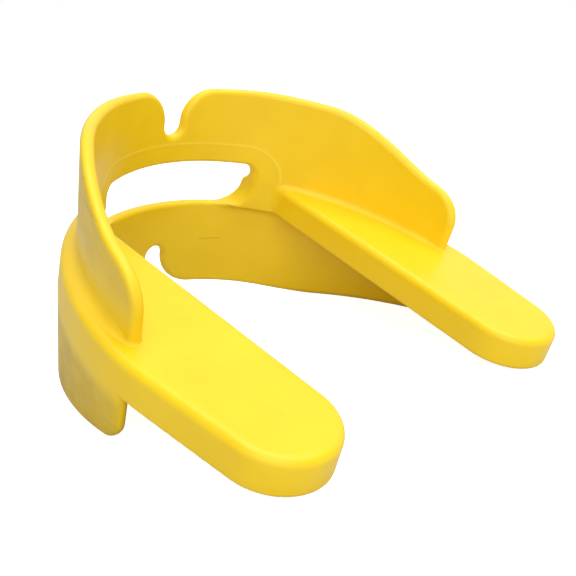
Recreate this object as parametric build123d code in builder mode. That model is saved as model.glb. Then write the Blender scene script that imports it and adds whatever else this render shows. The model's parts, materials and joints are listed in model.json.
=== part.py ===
from build123d import *
from math import asin, atan2, cos, hypot, sin, tan
import os

# A double-arch mouthguard: one flexible moulding that the lips and teeth hold, in millimetres.
# It is drawn flat on its bite plane, with X across the mouth, Y from the lips back and heights above
# the underside of the bite plates. That plane is tilted so that the guard lies as it rests on a table,
# on the edge of its lower shield and the tips of its plates.
# The moulding's regions are separate solids that meet face to face.

os.makedirs("parts", exist_ok=True)

# Arch, seen from above
half_width = 32.0  # midline to the ledge's outer edge, where the arch is widest
arch_depth = 36.8  # front of the ledge back to that widest point
past_the_end = 60.0  # a distance that clears the back of every region
past_the_wall = 5.0  # a distance that clears the edge of a shield

# Bite plates, and the ledge round their outside that both shields stand on
plate_thickness = 4.8
ledge_front = 0.9  # width of the ledge outside the upper shield, at the lips
ledge_side = 2.3  # and at the cheeks
plate_inner_front = 17.5  # midline to a plate's inner edge, level with the lips
plate_inner_end = 15.5  # midline to the inner edge, where the tip begins
plate_outer_end = 29.5  # midline to the outer edge, where the tip begins
plate_straight_end = 52.3  # front of the ledge back to where the tip begins
plate_tip = 6.6  # how far the rounded tip stands beyond that
plate_top_rounding = 0.8
plate_under_rounding = 0.4

# Upper lip shield
upper_wall = 1.7
upper_height = 19.4  # top edge at the lips
upper_lean = 1.0  # how far the top edge leans out
upper_level = 12.0  # the top edge is level back to here
upper_fall = (21.3, 17.0)  # a point of its fall, as a distance back and a height
upper_back_height = 13.3  # its height at the cheeks
upper_end = 35.8
upper_corner = 5.0
upper_rim = 0.74

# Lower lip shield
lower_wall = 1.6
lower_depth = 14.4  # bottom edge at the lips
lower_lean = 1.3  # how far the bottom edge leans in
lower_level = 9.8  # the bottom edge is level back to here
lower_sweep = 25.0  # radius of its bend up from there to the straight run that rests on the table
lower_end = 37.9
lower_corner = 1.8
lower_rim = 0.6

# Breathing slot, and the midline notches that clear the folds under the lips
slot_length = 28.6
slot_top = 7.8
slot_upper_corner = 1.4
slot_lower_corner = 4.0
upper_notch_floor = 11.5
upper_notch_radius = 1.6
upper_notch_lobe = 4.0  # radius of the rounded lobe on each side
lower_notch_roof = -7.0
lower_notch_radius = 1.7
lower_notch_lobe = 4.5

# Rest on a table, which touches the lower edge's bend and the rounded lower edges of the tips
bend_height = lower_sweep - lower_depth  # height of the bend's centre
between = plate_straight_end + plate_tip - plate_under_rounding - lower_level
drop = bend_height - plate_under_rounding
rest_tilt = asin((lower_sweep - plate_under_rounding) / hypot(between, drop)) - atan2(drop, between)
rest_height = lower_sweep + lower_level * sin(rest_tilt) - bend_height * cos(rest_tilt)
rest_middle = 27.363  # front of the ledge back to the middle of the footprint

# The lower edge's straight run, from the end of the bend back to the cheek
run_start = lower_level + lower_sweep * sin(rest_tilt)
run_start_height = bend_height - lower_sweep * cos(rest_tilt)
run_end_height = run_start_height + (lower_end - run_start) * tan(rest_tilt)

bite = Plane(
    origin=(0, -rest_middle, rest_height),
    x_dir=(1, 0, 0),
    z_dir=(0, sin(rest_tilt), cos(rest_tilt)),
)
side = Plane(origin=bite.origin, x_dir=bite.y_dir, z_dir=(1, 0, 0))
front = Plane(origin=bite.origin, x_dir=(1, 0, 0), z_dir=-bite.y_dir)
up = Axis(bite.origin, bite.z_dir)


def arch(inset_side, inset_front, back):
    """Half an ellipse round the front, inset from the ledge's edge, and straight sides to the back."""
    reach = half_width - inset_side
    with BuildSketch() as outline:
        with BuildLine():
            EllipticalCenterArc((0, arch_depth), reach, arch_depth - inset_front, 180, arc_size=180)
            Polyline((reach, arch_depth), (reach, back), (-reach, back), (-reach, arch_depth))
        make_face()
    return outline.sketch


def slot_outline():
    """The breathing slot seen from the lips: its floor is level with the plates' underside."""
    with BuildSketch() as outline:
        with BuildLine():
            FilletPolyline(
                (-slot_length / 2, 0),
                (slot_length / 2, 0),
                (slot_length / 2, slot_top),
                (-slot_length / 2, slot_top),
                radius=(slot_lower_corner, slot_lower_corner, slot_upper_corner, slot_upper_corner),
                close=True,
            )
        make_face()
    return outline.sketch


def notch_outline(apex, edge, radius, lobe):
    """A midline notch seen from the lips, from its round apex out past the shield's edge."""
    away = 1 if edge > apex else -1
    neck = apex + away * radius
    lip = edge - away * lobe
    mouth = radius + lobe
    with BuildSketch() as outline:
        with BuildLine():
            ThreePointArc((radius, neck), (0, apex), (-radius, neck))
            Line((-radius, neck), (-radius, lip))
            RadiusArc((-radius, lip), (-mouth, edge), -away * lobe)
            Polyline((-mouth, edge), (-mouth, edge + away), (mouth, edge + away), (mouth, edge))
            RadiusArc((mouth, edge), (radius, lip), -away * lobe)
            Line((radius, lip), (radius, neck))
        make_face()
    return outline.sketch


def plate_outline():
    """The left bite plate seen from above: within the shields, and the full width behind them."""
    tip_middle = (plate_outer_end + plate_inner_end) / 2
    tip_half = (plate_outer_end - plate_inner_end) / 2
    with BuildSketch() as outline:
        with BuildLine():
            Polyline(
                (plate_inner_end, plate_straight_end),
                (plate_inner_front, 0),
                (half_width, 0),
                (half_width, lower_end),
                (plate_outer_end, plate_straight_end),
            )
            EllipticalCenterArc((tip_middle, plate_straight_end), tip_half, plate_tip, 0, arc_size=180)
        make_face()
        add(inside_the_wall + behind_the_shields, mode=Mode.INTERSECT)
    return outline.sketch


inside_the_wall = arch(ledge_side + upper_wall, ledge_front + upper_wall, past_the_end)
behind_the_shields = Polygon(
    (-half_width, lower_end),
    (half_width, lower_end),
    (half_width, past_the_end),
    (-half_width, past_the_end),
    align=None,
)

with BuildPart() as upper_lip_shield:
    # The wall, leaning out towards its top edge
    with BuildSketch(bite.offset(plate_thickness)):
        add(arch(ledge_side, ledge_front, upper_end + past_the_wall))
    with BuildSketch(bite.offset(upper_height)):
        add(arch(ledge_side - upper_lean, ledge_front - upper_lean, upper_end + past_the_wall))
    loft()
    with BuildSketch(bite.offset(plate_thickness)):
        add(inside_the_wall)
    with BuildSketch(bite.offset(upper_height)):
        add(offset(inside_the_wall, upper_lean, mode=Mode.PRIVATE))
    loft(mode=Mode.SUBTRACT)
    # Its outline seen from the side: level at the lips, falling to a round corner at the cheeks
    with BuildSketch(side):
        with BuildLine():
            Polyline(
                (upper_level, upper_height),
                (-past_the_wall, upper_height),
                (-past_the_wall, 0),
                (upper_end, 0),
                (upper_end, upper_back_height - upper_corner),
            )
            RadiusArc(
                (upper_end, upper_back_height - upper_corner),
                (upper_end - upper_corner, upper_back_height),
                -upper_corner,
            )
            Spline(
                (upper_end - upper_corner, upper_back_height),
                upper_fall,
                (upper_level, upper_height),
                tangents=((-1, 0), (-1, 0)),
            )
        make_face()
    extrude(amount=half_width + past_the_wall, both=True, mode=Mode.INTERSECT)
    with BuildSketch(front):
        add(slot_outline())
        add(notch_outline(upper_notch_floor, upper_height, upper_notch_radius, upper_notch_lobe))
    extrude(amount=arch_depth / 2, both=True, mode=Mode.SUBTRACT)
    foot = upper_lip_shield.edges().group_by(up)[0]
    rim = (upper_lip_shield.edges() - foot).filter_by(lambda edge: edge.length > 1.2 * upper_wall)
    fillet(rim, upper_rim)
upper_lip_shield.part.label = "upper_lip_shield"
export_step(upper_lip_shield.part, "parts/upper_lip_shield.step")

with BuildPart() as lower_lip_shield:
    # The wall, leaning in towards its bottom edge
    with BuildSketch(bite):
        add(arch(0, 0, lower_end + past_the_wall))
    with BuildSketch(bite.offset(-lower_depth)):
        add(arch(lower_lean, lower_lean, lower_end + past_the_wall))
    loft()
    with BuildSketch(bite):
        add(arch(lower_wall, lower_wall, past_the_end))
    with BuildSketch(bite.offset(-lower_depth)):
        add(arch(lower_wall + lower_lean, lower_wall + lower_lean, past_the_end))
    loft(mode=Mode.SUBTRACT)
    # Its outline seen from the side: level at the lips, then a bend and a straight run up to the cheeks
    with BuildSketch(side) as outline:
        with BuildLine():
            Polyline(
                (lower_level, -lower_depth),
                (-past_the_wall, -lower_depth),
                (-past_the_wall, past_the_wall),
                (lower_end, past_the_wall),
                (lower_end, run_end_height),
                (run_start, run_start_height),
            )
            RadiusArc((lower_level, -lower_depth), (run_start, run_start_height), -lower_sweep)
        make_face()
        fillet(outline.vertices().group_by(Axis.X)[-1].sort_by(Axis.Y)[0], lower_corner)
    extrude(amount=half_width + past_the_wall, both=True, mode=Mode.INTERSECT)
    with BuildSketch(front):
        add(notch_outline(lower_notch_roof, -lower_depth, lower_notch_radius, lower_notch_lobe))
    extrude(amount=arch_depth / 2, both=True, mode=Mode.SUBTRACT)
    seat = lower_lip_shield.edges().group_by(up)[-1]
    rim = (lower_lip_shield.edges() - seat).filter_by(lambda edge: edge.length > 1.2 * lower_wall)
    fillet(rim, lower_rim)
    # The ledge, which runs out under the slot's round lower corners
    with BuildSketch(bite):
        add(arch(0, 0, lower_end))
        add(inside_the_wall, mode=Mode.SUBTRACT)
    extrude(amount=plate_thickness)
    with BuildSketch(front):
        add(slot_outline())
    extrude(amount=arch_depth / 2, both=True, mode=Mode.SUBTRACT)
    curved = lower_lip_shield.edges().group_by(up)[-1].filter_by(GeomType.ELLIPSE)
    fillet(curved.sort_by(SortBy.LENGTH)[-2:], plate_top_rounding)
lower_lip_shield.part.label = "lower_lip_shield"
export_step(lower_lip_shield.part, "parts/lower_lip_shield.step")

with BuildPart() as left_bite_plate:
    with BuildSketch(bite):
        add(plate_outline())
    extrude(amount=plate_thickness)
    for level, rounding in ((-1, plate_top_rounding), (0, plate_under_rounding)):
        edges = left_bite_plate.edges().group_by(up)[level]
        long_edges = edges.filter_by(lambda edge: edge.length > 2 * plate_thickness)
        beside_the_wall = long_edges.filter_by(GeomType.ELLIPSE).sort_by(Axis.Y)[0]
        fillet(long_edges - [beside_the_wall], rounding)
left_bite_plate.part.label = "left_bite_plate"
export_step(left_bite_plate.part, "parts/left_bite_plate.step")

with BuildPart() as right_bite_plate:
    add(left_bite_plate.part)
    mirror(about=Plane.YZ, mode=Mode.REPLACE)
right_bite_plate.part.label = "right_bite_plate"
export_step(right_bite_plate.part, "parts/right_bite_plate.step")
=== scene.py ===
"""A double-arch mouthguard, moulded in one shot of yellow plastic, lying on its plate tips and lower edge.

The moulding is one distance field in the bite plane's own coordinates, in millimetres: X across the
mouth, Y from the lips back, Z up from the underside of the bite plates. The field becomes one closed
mesh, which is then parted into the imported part's four regions.
"""

import json
import math

import bpy
import numpy as np
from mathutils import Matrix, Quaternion, Vector


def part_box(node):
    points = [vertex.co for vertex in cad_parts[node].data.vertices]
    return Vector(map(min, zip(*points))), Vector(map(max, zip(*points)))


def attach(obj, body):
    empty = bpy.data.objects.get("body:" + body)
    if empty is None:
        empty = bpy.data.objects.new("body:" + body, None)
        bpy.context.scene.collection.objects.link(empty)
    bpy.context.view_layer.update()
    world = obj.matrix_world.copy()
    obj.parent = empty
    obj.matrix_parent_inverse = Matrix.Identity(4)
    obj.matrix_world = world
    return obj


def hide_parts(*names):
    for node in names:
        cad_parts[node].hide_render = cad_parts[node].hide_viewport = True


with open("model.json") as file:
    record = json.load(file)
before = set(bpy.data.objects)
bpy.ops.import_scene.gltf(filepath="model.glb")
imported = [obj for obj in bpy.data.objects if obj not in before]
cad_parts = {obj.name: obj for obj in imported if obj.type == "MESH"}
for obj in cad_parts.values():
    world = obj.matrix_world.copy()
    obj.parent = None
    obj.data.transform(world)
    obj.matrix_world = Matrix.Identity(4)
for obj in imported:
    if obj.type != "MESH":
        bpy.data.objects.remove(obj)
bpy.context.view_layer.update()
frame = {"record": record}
MM = 0.001
SCENE = bpy.context.scene

# ---------------------------------------------------------------- where the bite plane lies

mounts = {mount["name"]: mount for mount in frame["record"]["mounts"]}
MOUNT_X, MOUNT_Y = 22.5, 30.0  # where the left plate's bite mounts lie on it
top_point = np.array(mounts["left_bite_top"]["pos_m"]) / MM
under_point = np.array(mounts["left_bite_underside"]["pos_m"]) / MM
up = np.array(mounts["left_bite_top"]["axis"])
up = up / np.linalg.norm(up)
across = np.array([1.0, 0.0, 0.0])
rearward = np.cross(up, across)
bite_axes = np.stack([across, rearward, up])  # rows: the bite plane's own axes
bite_origin = under_point - MOUNT_X * across - MOUNT_Y * rearward
REST_TILT = math.asin(up[1])  # tips down, so that the lower edge's straight run lies on the table

# ---------------------------------------------------------------- driving dimensions, mm

PLATE = float(np.linalg.norm(top_point - under_point))  # thickness of the bite plates
SIDE_ROOM = 0.02  # how far the ledge's sides stay inside the CAD's box
HALF_WIDTH = float(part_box("lower_lip_shield")[1].x) / MM - SIDE_ROOM  # midline to the ledge's outer edge
ARCH_DEPTH = 36.8  # front of the ledge back to where the arch is widest

LEDGE_FRONT, LEDGE_SIDE = 0.9, 2.3  # the ledge outside the upper shield, at the lips and cheeks
PLATE_INNER_FRONT, PLATE_INNER_END = 17.5, 15.5  # midline to a plate's inner edge, at the lips and the tip
PLATE_OUTER_END, PLATE_STRAIGHT_END = 29.5, 52.3  # its outer edge there, and how far back that is
CHEEK_BEND = 2.0  # how gently the outside turns inwards behind the shields
PLATE_TIP, PLATE_TIP_SKEW = 6.6, 0.10  # the tip's round end, fuller on its outer side
PLATE_TOP_ROUND, PLATE_UNDER_ROUND = 1.1, 0.45

UPPER_WALL, UPPER_HEIGHT, UPPER_LEAN = 1.7, 19.38, 1.0
UPPER_DIP, UPPER_DIP_REACH = 0.9, 7.0  # how far its top edge dips to the midline, and from how far back
UPPER_DIP_LIMIT = 1.1  # holds the dip in the empty space before the lips
UPPER_LEVEL, UPPER_FALL_END, UPPER_BACK_HEIGHT = 12.0, 33.5, 13.2
UPPER_END, UPPER_CORNER = 35.8, 5.0
UPPER_FOOT_ROUND = 0.3  # where its wall ends, level with the plates' underside

LOWER_WALL, LOWER_DEPTH, LOWER_LEAN = 1.6, 14.38, 1.3
LOWER_LEVEL, LOWER_SWEEP = 9.8, 25.0  # the bend from the level edge up to its straight run
LOWER_END, LOWER_SLANT, LOWER_CORNER = 37.9, 0.06, 2.2  # its rear edge slants forward as it goes down

SLOT_LENGTH, SLOT_TOP, SLOT_FLOOR = 28.0, 7.5, 0.0
SLOT_UPPER_CORNER, SLOT_LOWER_CORNER = 1.4, 4.0
SLOT_ROUND = 0.6
UPPER_NOTCH = dict(apex=11.8, radius=1.6, lobe=5.0)
LOWER_NOTCH = dict(apex=-7.2, radius=1.6, lobe=5.5)

# Fillets at the foot of the upper shield. Numbers in brackets are the distances over which one changes.
LEDGE_FILLET, PLATE_FILLET = 1.3, 0.9  # outside the wall, and inside it
UPPER_FILLET_CHANGE = (-0.8, 0.8)  # across the wall, from the inside to the outside
UPPER_FILLET_RISE = (0, 2)  # up from the plates' underside, from nothing
UPPER_FILLET_END = (0, 4)  # forward from the shield's rear edge, from its least share
UPPER_FILLET_SHARE = 0.3
# Fillets between the ledge and the lower shield
SHIELD_FILLET_SLOT, SHIELD_FILLET_SIDE = 0.3, 1.6  # below the slot, and at the cheeks
SHIELD_FILLET_CHANGE = (8, 13)  # out from the midline, from the one to the other
SHIELD_FILLET_RISE = (0.6, 1.8)  # in from the ledge's outer edge, from nothing
SHARP = 1e-3  # a radius too small to see

INSERT_MARGIN = 3.1  # from the slot to the faint line that the mould's slot insert leaves
GATE_X, GATE_Y, GATE_RADIUS = 22.0, 52.0, 0.45  # the gate mark on each plate
SCRATCH_SPAN = (-11.8, -7.4)  # a short scratch inside the lower shield, from and to
SCRATCH_HEIGHT, SCRATCH_SLOPE = -6.5, 0.08

GRID = 0.3  # spacing of the sampled field
ROOM_BEFORE, ROOM_UNDER, ROOM = 1.2, 0.8, 1.0  # how far it reaches past the lips, underneath and elsewhere
SETTLING = (0.5, 0.5, 0.5, 0, 0)  # how far each pass moves the points towards their neighbours' middle
GENTLEST = 0.2  # the least squared slope of the field that a step towards its surface allows for
SKIN_MATCH = 0.6  # cosine between a face's normal and the field's, above which the face is skin


# ---------------------------------------------------------------- distance fields


def round_max(a, b, radius):
    """Where two fields both hold, with a convex edge of this radius."""
    a, b = a + radius, b + radius
    return np.hypot(np.maximum(a, 0), np.maximum(b, 0)) + np.minimum(np.maximum(a, b), 0) - radius


def round_min(a, b, radius):
    """Where either field holds, with a fillet of this radius between them."""
    return -round_max(-a, -b, radius)


def smooth_step(value, low, high):
    """0 below low, 1 above high, and smooth between."""
    t = np.clip((value - low) / (high - low), 0, 1)
    return t * t * (3 - 2 * t)


def between(first, last, share):
    """The first value where the share is 0, and the last where it is 1."""
    return first + (last - first) * share


def arch(x, y, inset_side, inset_front):
    """Half an ellipse round the front and straight sides behind, inset from the ledge's edge."""
    reach, depth = HALF_WIDTH - inset_side, ARCH_DEPTH - inset_front
    ahead = np.minimum(y - ARCH_DEPTH, 0)
    r = np.hypot(x / reach, ahead / depth)
    slope = np.hypot(x / reach**2, ahead / depth**2)
    never_zero = 1e-6
    return (r - 1) * r / np.maximum(slope, never_zero)


def cheek_pull(y):
    """How far the outside has drawn in from the arch's full width, behind the shields."""
    taper = (HALF_WIDTH - PLATE_OUTER_END) / (PLATE_STRAIGHT_END - LOWER_END)
    behind = y - LOWER_END
    return taper * (behind + np.hypot(behind, CHEEK_BEND)) / 2


def notched(x, z, edge, opening, apex, radius, lobe):
    """A shield's edge with a round-ended midline notch out of it, and round lobes beside the notch."""
    beyond = (z - apex) * opening - radius
    void = np.hypot(x, np.minimum(beyond, 0)) - radius
    return round_max(edge, -void, lobe)


def upper_edge(x, y, z):
    """The upper shield's outline: nearly level at the lips, falling to a round corner at the cheeks."""
    fall, run = UPPER_HEIGHT - UPPER_BACK_HEIGHT, UPPER_FALL_END - UPPER_LEVEL
    t = np.clip((y - UPPER_LEVEL) / run, 0, 1)
    dip = UPPER_DIP * np.clip(1 - y / UPPER_DIP_REACH, 0, UPPER_DIP_LIMIT) ** 2
    height = UPPER_HEIGHT - fall * t * t * (3 - 2 * t) - dip
    slope = fall * 6 * t * (1 - t) / run
    edge = (z - height) / np.hypot(1, slope)
    edge = round_max(edge, y - UPPER_END, UPPER_CORNER)
    return notched(x, z, edge, 1, **UPPER_NOTCH)


def lower_edge(x, y, z):
    """The lower shield's outline: level at the lips, then a bend and a straight run up to the cheeks."""
    back, down = y - LOWER_LEVEL, LOWER_SWEEP - LOWER_DEPTH - z
    turn = np.clip(np.arctan2(back, down), 0, REST_TILT)
    edge = back * np.sin(turn) + down * np.cos(turn) - LOWER_SWEEP
    edge = round_max(edge, y - LOWER_END - LOWER_SLANT * z, LOWER_CORNER)
    return notched(x, z, edge, -1, **LOWER_NOTCH)


def wall(middle, edge, thickness):
    """A wall about a middle surface, whose free edge is fully rounded."""
    half = thickness / 2
    return np.hypot(middle, np.maximum(edge + half, 0)) - half


def slot_void(x, z):
    """The breathing slot seen from the lips."""
    half_height = (SLOT_TOP - SLOT_FLOOR) / 2
    dz = z - (SLOT_TOP + SLOT_FLOOR) / 2
    corner = np.where(dz > 0, SLOT_UPPER_CORNER, SLOT_LOWER_CORNER)
    return round_max(x - SLOT_LENGTH / 2, np.abs(dz) - half_height, corner)


def upper_middle(x, y, z):
    """Distance from the middle surface of the upper shield's wall, positive outside it."""
    lean = UPPER_LEAN * np.maximum(z - PLATE, 0) / (UPPER_HEIGHT - PLATE)
    half = UPPER_WALL / 2
    return arch(x, y, LEDGE_SIDE - lean + half, LEDGE_FRONT - lean + half)


def moulding(points):
    """The whole guard, in the bite plane's coordinates: negative inside it."""
    x, y, z = np.abs(points[..., 0]), points[..., 1], points[..., 2]

    middle = upper_middle(x, y, z)
    upper = wall(middle, upper_edge(x, y, z), UPPER_WALL)
    upper = round_max(upper, -z, UPPER_FOOT_ROUND)

    pull = cheek_pull(y)
    lean = LOWER_LEAN * np.maximum(-z, 0) / LOWER_DEPTH + LOWER_WALL / 2
    lower = wall(arch(x, y, pull + lean, lean), lower_edge(x, y, z), LOWER_WALL)
    lower = np.maximum(lower, z - PLATE / 2)

    outer = arch(x, y, pull, 0)
    inner = PLATE_INNER_FRONT + (PLATE_INNER_END - PLATE_INNER_FRONT) * y / PLATE_STRAIGHT_END - x
    skew = PLATE_TIP_SKEW * (x - (PLATE_INNER_END + PLATE_OUTER_END) / 2)
    arm = round_max(np.maximum(outer, inner), y - PLATE_STRAIGHT_END - PLATE_TIP - skew, PLATE_TIP)
    ledge = np.maximum(np.maximum(outer, -middle), y - (LOWER_END + PLATE_STRAIGHT_END) / 2)
    flat = np.abs(z - PLATE / 2) - PLATE / 2
    rounding = np.where(z > PLATE / 2, PLATE_TOP_ROUND, PLATE_UNDER_ROUND)
    plates = round_max(np.minimum(arm, ledge), flat, rounding)

    fillet = between(PLATE_FILLET, LEDGE_FILLET, smooth_step(middle, *UPPER_FILLET_CHANGE))
    rear_share = between(UPPER_FILLET_SHARE, 1, smooth_step(UPPER_END - y, *UPPER_FILLET_END))
    fillet = fillet * smooth_step(z, *UPPER_FILLET_RISE) * rear_share
    body = round_min(upper, plates, fillet + SHARP)
    fillet = between(SHIELD_FILLET_SLOT, SHIELD_FILLET_SIDE, smooth_step(x, *SHIELD_FILLET_CHANGE))
    body = round_min(body, lower, fillet * smooth_step(-outer, *SHIELD_FILLET_RISE) + SHARP)
    return round_max(body, -slot_void(x, z), SLOT_ROUND)


def gradient(points, reach=0.04):
    """The field's slope at each point, by central differences."""
    slope = np.empty_like(points)
    for axis in range(3):
        nudge = np.zeros(3)
        nudge[axis] = reach
        slope[:, axis] = (moulding(points + nudge) - moulding(points - nudge)) / (2 * reach)
    return slope


# ---------------------------------------------------------------- from field to mesh


def sample_field():
    """The field on a regular grid round the whole guard, worked out on one half and mirrored."""
    low = np.array([GRID / 2, -ROOM_BEFORE, -LOWER_DEPTH - ROOM_UNDER])
    high = np.array([HALF_WIDTH, PLATE_STRAIGHT_END + PLATE_TIP, UPPER_HEIGHT]) + ROOM
    lines = [np.arange(a, b, GRID) for a, b in zip(low, high)]
    slices = (np.stack(np.meshgrid([x], *lines[1:], indexing="ij"), -1) for x in lines[0])
    half = np.concatenate([moulding(points) for points in slices])
    low[0] = -lines[0][-1]
    return np.concatenate([half[::-1], half]), low


def surface_net(field, low):
    """Points and quads round the field's zero level, with one point to each cell that it crosses."""
    inside = field < 0
    size = np.array(field.shape) - 1
    steps = np.array([(i, j, k) for i in (0, 1) for j in (0, 1) for k in (0, 1)])
    corners = [inside[i : i + size[0], j : j + size[1], k : k + size[2]] for i, j, k in steps]
    count = sum(corner.astype(np.int8) for corner in corners)
    cells = np.argwhere((count > 0) & (count < len(steps)))
    number = np.full(size, -1)
    number[tuple(cells.T)] = np.arange(len(cells))
    total, hits = np.zeros((len(cells), 3)), np.zeros(len(cells))
    quads = []
    for axis in range(3):
        unit = np.eye(3, dtype=int)[axis]
        for start in steps[steps[:, axis] == 0]:
            a, b = field[tuple((cells + start).T)], field[tuple((cells + start + unit).T)]
            crosses = (a < 0) != (b < 0)
            share = (a / np.where(crosses, a - b, 1))[:, None]
            total[crosses] += (cells + start + share * unit)[crosses]
            hits[crosses] += 1
        u, v = np.eye(3, dtype=int)[[(axis + 1) % 3, (axis + 2) % 3]]
        near = np.take(inside, range(size[axis]), axis)
        far = np.take(inside, range(1, size[axis] + 1), axis)
        edges = np.argwhere(near != far)
        loop = np.stack([number[tuple((edges + s).T)] for s in (-u - v, -v, 0 * u, -u)], -1)
        outward = near[tuple(edges.T)]
        quads.append(np.where(outward[:, None], loop, loop[:, ::-1]))
    return low + GRID * total / hits[:, None], np.concatenate(quads)


def settle(points, quads):
    """Evens the points out over the surface, and puts each exactly on it."""
    ends = np.concatenate([quads, np.roll(quads, -1, 1)], 1).reshape(-1)
    others = np.concatenate([np.roll(quads, -1, 1), quads], 1).reshape(-1)
    degree = np.bincount(ends, minlength=len(points))[:, None]
    for relax in SETTLING:
        if relax:
            sums = [np.bincount(ends, points[others, axis], len(points)) for axis in range(3)]
            points = points + relax * (np.stack(sums, -1) / degree - points)
        slope = gradient(points)
        steep = np.maximum((slope**2).sum(1), GENTLEST)
        points = points - (moulding(points) / steep)[:, None] * slope
    return points


def to_world(points):
    """Bite-plane millimetres to metres in the row frame."""
    return (points @ bite_axes + bite_origin) * MM


def to_bite(points):
    """Metres in the row frame to bite-plane millimetres."""
    return (points / MM - bite_origin) @ bite_axes.T


def mesh_object(name, points, faces):
    """A mesh object from bite-plane points."""
    mesh = bpy.data.meshes.new(name)
    mesh.from_pydata(to_world(points).tolist(), [], faces)
    piece = bpy.data.objects.new(name, mesh)
    SCENE.collection.objects.link(piece)
    return piece


def prism(name, outline, bottom, top):
    """A closed block over a bite-plane outline, which runs anticlockwise."""
    count = len(outline)
    points = [(x, y, z) for z in (bottom, top) for x, y in outline]
    sides = [(i, (i + 1) % count, (i + 1) % count + count, i + count) for i in range(count)]
    ends = [tuple(range(count))[::-1], tuple(range(count, 2 * count))]
    return mesh_object(name, np.array(points, float), sides + ends)


def cut(piece, name, *steps):
    """A copy of a piece after boolean steps, each a cutter and an operation."""
    result = bpy.data.objects.new(name, piece.data.copy())
    SCENE.collection.objects.link(result)
    for cutter, operation in steps:
        modifier = result.modifiers.new("cut", "BOOLEAN")
        modifier.object, modifier.operation, modifier.solver = cutter, operation, "MANIFOLD"
    bpy.context.view_layer.update()
    evaluated = result.evaluated_get(bpy.context.evaluated_depsgraph_get())
    mesh = bpy.data.meshes.new_from_object(evaluated)
    result.modifiers.clear()
    result.data = mesh
    mesh.name = name
    return result


# The plates' share of the moulding
REGION_ROOM = 0.1  # how far it stays clear of the shield's fillet
REGION_START, REGION_STEPS = 0.16, 60  # where its curve starts, in half turns from the lips, and its points
REGION_STEP_BACK = 0.6  # how far behind the shields it takes the full width
CUTTER_ROOM = 3  # how far a cutter reaches past the moulding


def plate_region():
    """The left plate's share, seen from above: clear of the shield's fillet, and all behind the shields."""
    clear = UPPER_WALL + PLATE_FILLET + REGION_ROOM
    reach, depth = HALF_WIDTH - LEDGE_SIDE - clear, ARCH_DEPTH - LEDGE_FRONT - clear
    turns = np.linspace(REGION_START * np.pi, 0.5 * np.pi, REGION_STEPS)
    arc = [(reach * math.sin(t), ARCH_DEPTH - depth * math.cos(t)) for t in turns]
    inner, outer = reach / 3, HALF_WIDTH + CUTTER_ROOM
    middle, rear = LOWER_END + REGION_STEP_BACK, PLATE_STRAIGHT_END + 2 * PLATE_TIP
    return arc + [(reach, middle), (outer, middle), (outer, rear), (inner, rear), (inner, arc[0][1])]


def shade(piece):
    """Takes the normals of the moulded skin from the field, so that the cuts don't show."""
    mesh = piece.data
    corner_point = np.empty(len(mesh.loops), int)
    mesh.loops.foreach_get("vertex_index", corner_point)
    points = np.empty(len(mesh.vertices) * 3)
    mesh.vertices.foreach_get("co", points)
    points = to_bite(points.reshape(-1, 3))
    slope = gradient(points)
    slope = slope / np.linalg.norm(slope, axis=1, keepdims=True) @ bite_axes
    face_normal = np.empty(len(mesh.polygons) * 3)
    mesh.polygons.foreach_get("normal", face_normal)
    face_size = np.empty(len(mesh.polygons), int)
    mesh.polygons.foreach_get("loop_total", face_size)
    face_normal = np.repeat(face_normal.reshape(-1, 3), face_size, 0)
    normals = slope[corner_point]
    skin = (normals * face_normal).sum(1) > SKIN_MATCH
    normals = np.where(skin[:, None], normals, face_normal)
    mesh.polygons.foreach_set("use_smooth", np.ones(len(mesh.polygons), bool))
    mesh.normals_split_custom_set(normals.tolist())
    mesh.update()
    return points


def mark(piece, name, values):
    """Keeps a number at each point, for the material."""
    attribute = piece.data.attributes.new(name, "FLOAT", "POINT")
    attribute.data.foreach_set("value", np.asarray(values, np.float32))


# ---------------------------------------------------------------- the moulding's four regions

points, quads = surface_net(*sample_field())
points = settle(points, quads)
whole = mesh_object("whole_moulding", points, quads.tolist())

region = plate_region()
left = prism("left_cutter", region, -CUTTER_ROOM, PLATE + CUTTER_ROOM)
right = prism("right_cutter", [(-x, y) for x, y in region][::-1], -CUTTER_ROOM, PLATE + CUTTER_ROOM)
far = 2 * PLATE_STRAIGHT_END
square = [(-far, -far), (far, -far), (far, far), (-far, far)]
above = prism("above_cutter", square, PLATE / 2, far)
regions = {
    "upper_lip_shield": [(left, "DIFFERENCE"), (right, "DIFFERENCE"), (above, "INTERSECT")],
    "lower_lip_shield": [(left, "DIFFERENCE"), (right, "DIFFERENCE"), (above, "DIFFERENCE")],
    "left_bite_plate": [(left, "INTERSECT")],
    "right_bite_plate": [(right, "INTERSECT")],
}
pieces = {node: cut(whole, "moulded_" + node, *steps) for node, steps in regions.items()}
for spent in (whole, left, right, above):
    bpy.data.objects.remove(spent)


# ---------------------------------------------------------------- material


# Distances over which a mask goes from 0 to 1: towards a face, and away from the plates
INNER_FACE, INNER_HEIGHTS = (-0.5, -0.2), (PLATE, PLATE + 1.5)  # the upper shield's inner face
UPPER_FACE, UPPER_HEIGHTS = (0.4, 0.8), (PLATE + 2, PLATE + 6)  # its outer face, from the wall's middle
LOWER_FACE, BELOW_PLATES = (-0.5, -0.1), (0, 2)  # the lower shield's outer face
UPPER_WEAR_AND_SHADE = 0.7  # the upper shield gets less of the scuffs and of the painted shade
SCRATCH_FADE = 1  # at both ends
OFF_THE_UNDERSIDE = 9  # puts the plates' underside out of a gate mark's reach


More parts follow.
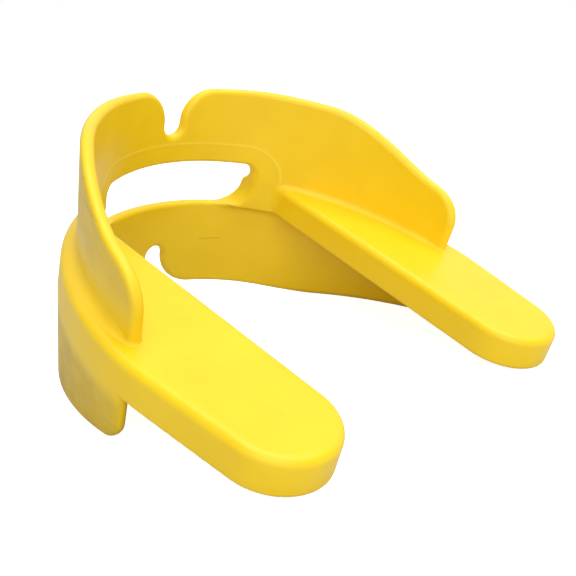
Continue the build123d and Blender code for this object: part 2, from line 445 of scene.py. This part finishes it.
def mark_surface(piece, places):
    """Marks where the moulding shows its making and its use, and where shade is painted on the shields'
    outer faces: distances in mm, and masks from 0 to 1.
    """
    x, y, z = places.T
    width = np.abs(x)
    middle = upper_middle(width, y, z)

    from_inner_face = np.abs(middle + UPPER_WALL / 2)
    mark(piece, "insert_gap", slot_void(width, z) - INSERT_MARGIN)
    mark(piece, "insert_reach", smooth_step(-from_inner_face, *INNER_FACE) * smooth_step(z, *INNER_HEIGHTS))

    lean = LOWER_LEAN * np.maximum(-z, 0) / LOWER_DEPTH
    lower_outside = arch(width, y, cheek_pull(y) + lean, lean)
    on_lower_face = smooth_step(lower_outside, *LOWER_FACE) * smooth_step(-z, *BELOW_PLATES)
    on_upper_face = smooth_step(middle, *UPPER_FACE) * smooth_step(z, *UPPER_HEIGHTS)
    # The mask for the shields' outer faces places real scuffs, and also painted shade that darkens these
    # faces
    mark(piece, "wear_and_painted_shade", np.maximum(on_lower_face, UPPER_WEAR_AND_SHADE * on_upper_face))

    start, end = SCRATCH_SPAN
    along = smooth_step(x, start, start + SCRATCH_FADE) * smooth_step(-x, -end, SCRATCH_FADE - end)
    along = along * (y < ARCH_DEPTH / 2) * (z < 0) * (lower_outside < -LOWER_WALL / 2)
    mark(piece, "scratch_gap", z - SCRATCH_HEIGHT + SCRATCH_SLOPE * (x - end))
    mark(piece, "scratch_reach", along)

    from_gate = np.hypot(width - GATE_X, y - GATE_Y)
    mark(piece, "gate_gap", from_gate + OFF_THE_UNDERSIDE * (z < PLATE / 2))
    mark(piece, "bite_height", z)
    mark(piece, "bite_back", y)
    mark(piece, "bite_side", x)


# Colours, linear
YELLOW, WARM_YELLOW = (0.90, 0.60, 0.008, 1), (0.94, 0.65, 0.012, 1)
# The first colour on the next line is painted shade for the shields' outer faces; the second is real
# scuffing
PAINTED_SHADE_YELLOW, SCUFF_BROWN = (0.60, 0.405, 0.035, 1), (0.42, 0.28, 0.05, 1)
# The second colour on the next line is a painted highlight along the insert's raised line
SCRATCH_BROWN, PALE_LINE_HIGHLIGHT = (0.55, 0.30, 0.005, 1), (1.0, 0.80, 0.09, 1)

SCRATCH_WIDTH, INSERT_WIDTH = 0.16, 0.28  # half widths of the thin lines, mm
STREAKED = (1, 1, 55)  # flattens a noise's spots into level streaks
GATE_SOFTNESS, GATE_DEPTH = 0.2, 0.7
BUMP_DISTANCE = 0.1 * MM


def yellow_plastic():
    """Satin, injection-moulded yellow plastic, a little scuffed outside, with shade painted on the shields'
    outer faces as a duller, darker yellow.
    """
    material = bpy.data.materials.new("moulded_yellow")
    material.use_nodes = True
    nodes, links = material.node_tree.nodes, material.node_tree.links
    shader = nodes["Principled BSDF"]
    shader.inputs["Specular IOR Level"].default_value = 0.35
    shader.inputs["Coat Weight"].default_value = 0.12
    shader.inputs["Coat Roughness"].default_value = 0.25

    def marked(name):
        node = nodes.new("ShaderNodeAttribute")
        node.attribute_name = name
        return node.outputs["Fac"]

    def math_node(operation, a, b):
        node = nodes.new("ShaderNodeMath")
        node.operation = operation
        for socket, value in zip(node.inputs, (a, b)):
            if isinstance(value, (int, float)):
                socket.default_value = value
            else:
                links.new(value, socket)
        return node.outputs["Value"]

    def spread(value, first, last, start=0.3, end=0.7):
        """Goes from first to last as the value goes from start to end, which suit a noise."""
        node = nodes.new("ShaderNodeMapRange")
        node.inputs["From Min"].default_value, node.inputs["From Max"].default_value = start, end
        node.inputs["To Min"].default_value, node.inputs["To Max"].default_value = first, last
        links.new(value, node.inputs["Value"])
        return node.outputs["Result"]

    place = nodes.new("ShaderNodeCombineXYZ")
    for socket, name in zip(place.inputs, ("bite_side", "bite_back", "bite_height")):
        links.new(marked(name), socket)

    def noise(scale, detail=3.0, stretch=(1, 1, 1)):
        grain = nodes.new("ShaderNodeMapping")
        grain.inputs["Scale"].default_value = stretch
        links.new(place.outputs["Vector"], grain.inputs["Vector"])
        node = nodes.new("ShaderNodeTexNoise")
        node.inputs["Scale"].default_value = scale
        node.inputs["Detail"].default_value = detail
        links.new(grain.outputs["Vector"], node.inputs["Vector"])
        return node.outputs["Fac"]

    def line(gap, reach, width):
        """A thin line where the gap is nought, within its reach."""
        thin = spread(math_node("ABSOLUTE", marked(gap), 0), 1, 0, start=0, end=width)
        return math_node("MULTIPLY", thin, marked(reach))

    def blend(factor, a, b):
        mix = nodes.new("ShaderNodeMix")
        mix.data_type = "RGBA"
        for socket, colour in (("A", a), ("B", b)):
            if isinstance(colour, tuple):
                mix.inputs[socket].default_value = colour
            else:
                links.new(colour, mix.inputs[socket])
        links.new(factor, mix.inputs["Factor"])
        return mix.outputs["Result"]

    insert = line("insert_gap", "insert_reach", INSERT_WIDTH)
    scratch = line("scratch_gap", "scratch_reach", SCRATCH_WIDTH)
    streaks = spread(noise(scale=0.06, stretch=STREAKED), 0, 1, start=0.60, end=0.72)
    scuffs = math_node("MULTIPLY", streaks, marked("wear_and_painted_shade"))
    # Painted shade: darkens the shields' outer faces towards a dull yellow, and also makes them rougher
    dulled_and_painted_shade = math_node("MULTIPLY", spread(noise(scale=0.30), 0.45, 0.70), marked("wear_and_painted_shade"))

    colour = blend(spread(noise(scale=0.12), 0, 1), YELLOW, WARM_YELLOW)
    # Painted shade on the shields' outer faces
    colour = blend(dulled_and_painted_shade, colour, PAINTED_SHADE_YELLOW)
    for share, amount, tint in (
        (scuffs, 0.45, SCUFF_BROWN),
        (scratch, 0.65, SCRATCH_BROWN),
        # Painted highlight: the insert's line is raised in the bump, and also coloured paler where it would
        # catch the light
        (insert, 0.5, PALE_LINE_HIGHLIGHT),
    ):
        colour = blend(math_node("MULTIPLY", share, amount), colour, tint)
    links.new(colour, shader.inputs["Base Color"])

    roughness = spread(noise(scale=0.42), 0.34, 0.44)
    roughness = math_node("ADD", roughness, math_node("MULTIPLY", dulled_and_painted_shade, 0.12))
    links.new(roughness, shader.inputs["Roughness"])

    height = math_node("MULTIPLY", noise(scale=0.9, detail=4.0), 0.10)
    for relief, amount in (
        (noise(scale=0.16, detail=2.0), 0.20),
        (insert, 0.5),
        (scratch, -0.4),
        (scuffs, -0.15),
    ):
        height = math_node("ADD", height, math_node("MULTIPLY", relief, amount))
    rim_start, rim_end = GATE_RADIUS - GATE_SOFTNESS, GATE_RADIUS + GATE_SOFTNESS
    gate = spread(marked("gate_gap"), GATE_DEPTH, 0, start=rim_start, end=rim_end)
    height = math_node("SUBTRACT", height, gate)
    bump = nodes.new("ShaderNodeBump")
    bump.inputs["Strength"].default_value = 0.6
    bump.inputs["Distance"].default_value = BUMP_DISTANCE
    links.new(height, bump.inputs["Height"])
    links.new(bump.outputs["Normal"], shader.inputs["Normal"])
    return material


plastic = yellow_plastic()
for node, piece in pieces.items():
    mark_surface(piece, shade(piece))
    piece.data.materials.clear()
    piece.data.materials.append(plastic)
    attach(piece, "root")
    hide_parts(node)

# ---------------------------------------------------------------- floor, light and camera


def towards(azimuth, elevation):
    """The direction from the object to a viewer, in degrees: azimuth 0 is in front of the lips."""
    a, e = math.radians(azimuth), math.radians(elevation)
    return Vector((math.sin(a) * math.cos(e), -math.cos(a) * math.cos(e), math.sin(e)))


def seen_straight(tree):
    """For the floor and the backdrop: 1 as the lens sees them, and 0 as they light the object."""
    return tree.nodes.new("ShaderNodeLightPath").outputs["Is Camera Ray"]


PAPER_GREY = 0.55  # what the paper throws back of the light that falls on it
PAPER_LIFT = 0.90  # added where the lens sees it


def pale_paper():
    """White paper that is a little over-exposed, as in a studio picture."""
    material = bpy.data.materials.new("pale_paper")
    material.use_nodes = True
    tree = material.node_tree
    shader = tree.nodes["Principled BSDF"]
    shader.inputs["Base Color"].default_value = (PAPER_GREY, PAPER_GREY, PAPER_GREY, 1)
    shader.inputs["Roughness"].default_value = 0.9
    shader.inputs["Specular IOR Level"].default_value = 0.0
    shader.inputs["Emission Color"].default_value = (1, 1, 1, 1)
    lift = tree.nodes.new("ShaderNodeMath")
    lift.operation = "MULTIPLY"
    lift.inputs[1].default_value = PAPER_LIFT
    tree.links.new(seen_straight(tree), lift.inputs[0])
    tree.links.new(lift.outputs["Value"], shader.inputs["Emission Strength"])
    return material


FLOOR_SIZE = 20.0  # m
bpy.ops.mesh.primitive_plane_add(size=FLOOR_SIZE, location=(0, 0, 0))
floor = bpy.context.object
floor.name = "floor"
floor.data.materials.append(pale_paper())


def soft_sun(name, azimuth, elevation, strength):
    """A distant soft light from a compass direction round the object, in degrees."""
    light = bpy.data.lights.new(name, "SUN")
    light.angle, light.energy = math.radians(SUN_SPREAD), strength
    lamp = bpy.data.objects.new(name, light)
    SCENE.collection.objects.link(lamp)
    lamp.rotation_mode = "QUATERNION"
    lamp.rotation_quaternion = towards(azimuth, elevation).to_track_quat("Z", "Y")


SUN_SPREAD = 60  # degrees across
soft_sun("overhead", azimuth=190, elevation=74, strength=2.2)
soft_sun("fill", azimuth=138, elevation=15, strength=1.55)

BACKDROP = towards(azimuth=305, elevation=32)
BACKDROP_EDGE, BACKDROP_CORE = 0.2, 0.9  # cosines of the angle from its middle
ROOM_LIGHT, BACKDROP_LIGHT = 0.28, 0.9


def studio():
    """A white backdrop beyond the object as the camera sees it, and a dim room on every other side."""
    world = bpy.data.worlds.new("studio")
    world.use_nodes = True
    tree = world.node_tree
    nodes, links = tree.nodes, tree.links
    side = nodes.new("ShaderNodeVectorMath")
    side.operation = "DOT_PRODUCT"
    side.inputs[1].default_value = BACKDROP
    links.new(nodes.new("ShaderNodeTexCoord").outputs["Generated"], side.inputs[0])
    shine = nodes.new("ShaderNodeMapRange")
    for socket, value in (
        ("From Min", BACKDROP_EDGE),
        ("From Max", BACKDROP_CORE),
        ("To Min", ROOM_LIGHT),
        ("To Max", BACKDROP_LIGHT),
    ):
        shine.inputs[socket].default_value = value
    links.new(side.outputs["Value"], shine.inputs["Value"])
    strength = nodes.new("ShaderNodeMath")
    strength.operation = "MAXIMUM"
    links.new(shine.outputs["Result"], strength.inputs[0])
    links.new(seen_straight(tree), strength.inputs[1])
    background = nodes["Background"]
    background.inputs["Color"].default_value = (1, 1, 1, 1)
    links.new(strength.outputs["Value"], background.inputs["Strength"])
    return world


SCENE.world = studio()
SCENE.view_settings.view_transform = "Standard"

DISTANCE = 112.74 * MM
AIM = Vector((-2.52, -0.09, 9.15)) * MM
ROLL = math.radians(0.50)
LENS, SENSOR = 49.99, 36  # mm
NEAR_CLIP = 0.01  # m
outward = towards(azimuth=134.3, elevation=17.42)
camera = bpy.data.objects.new("camera", bpy.data.cameras.new("camera"))
SCENE.collection.objects.link(camera)
camera.data.lens, camera.data.sensor_width = LENS, SENSOR
camera.data.clip_start = NEAR_CLIP
camera.location = AIM + DISTANCE * outward
camera.rotation_mode = "QUATERNION"
camera.rotation_quaternion = (-outward).to_track_quat("-Z", "Y") @ Quaternion((0, 0, 1), ROLL)
SCENE.camera = camera
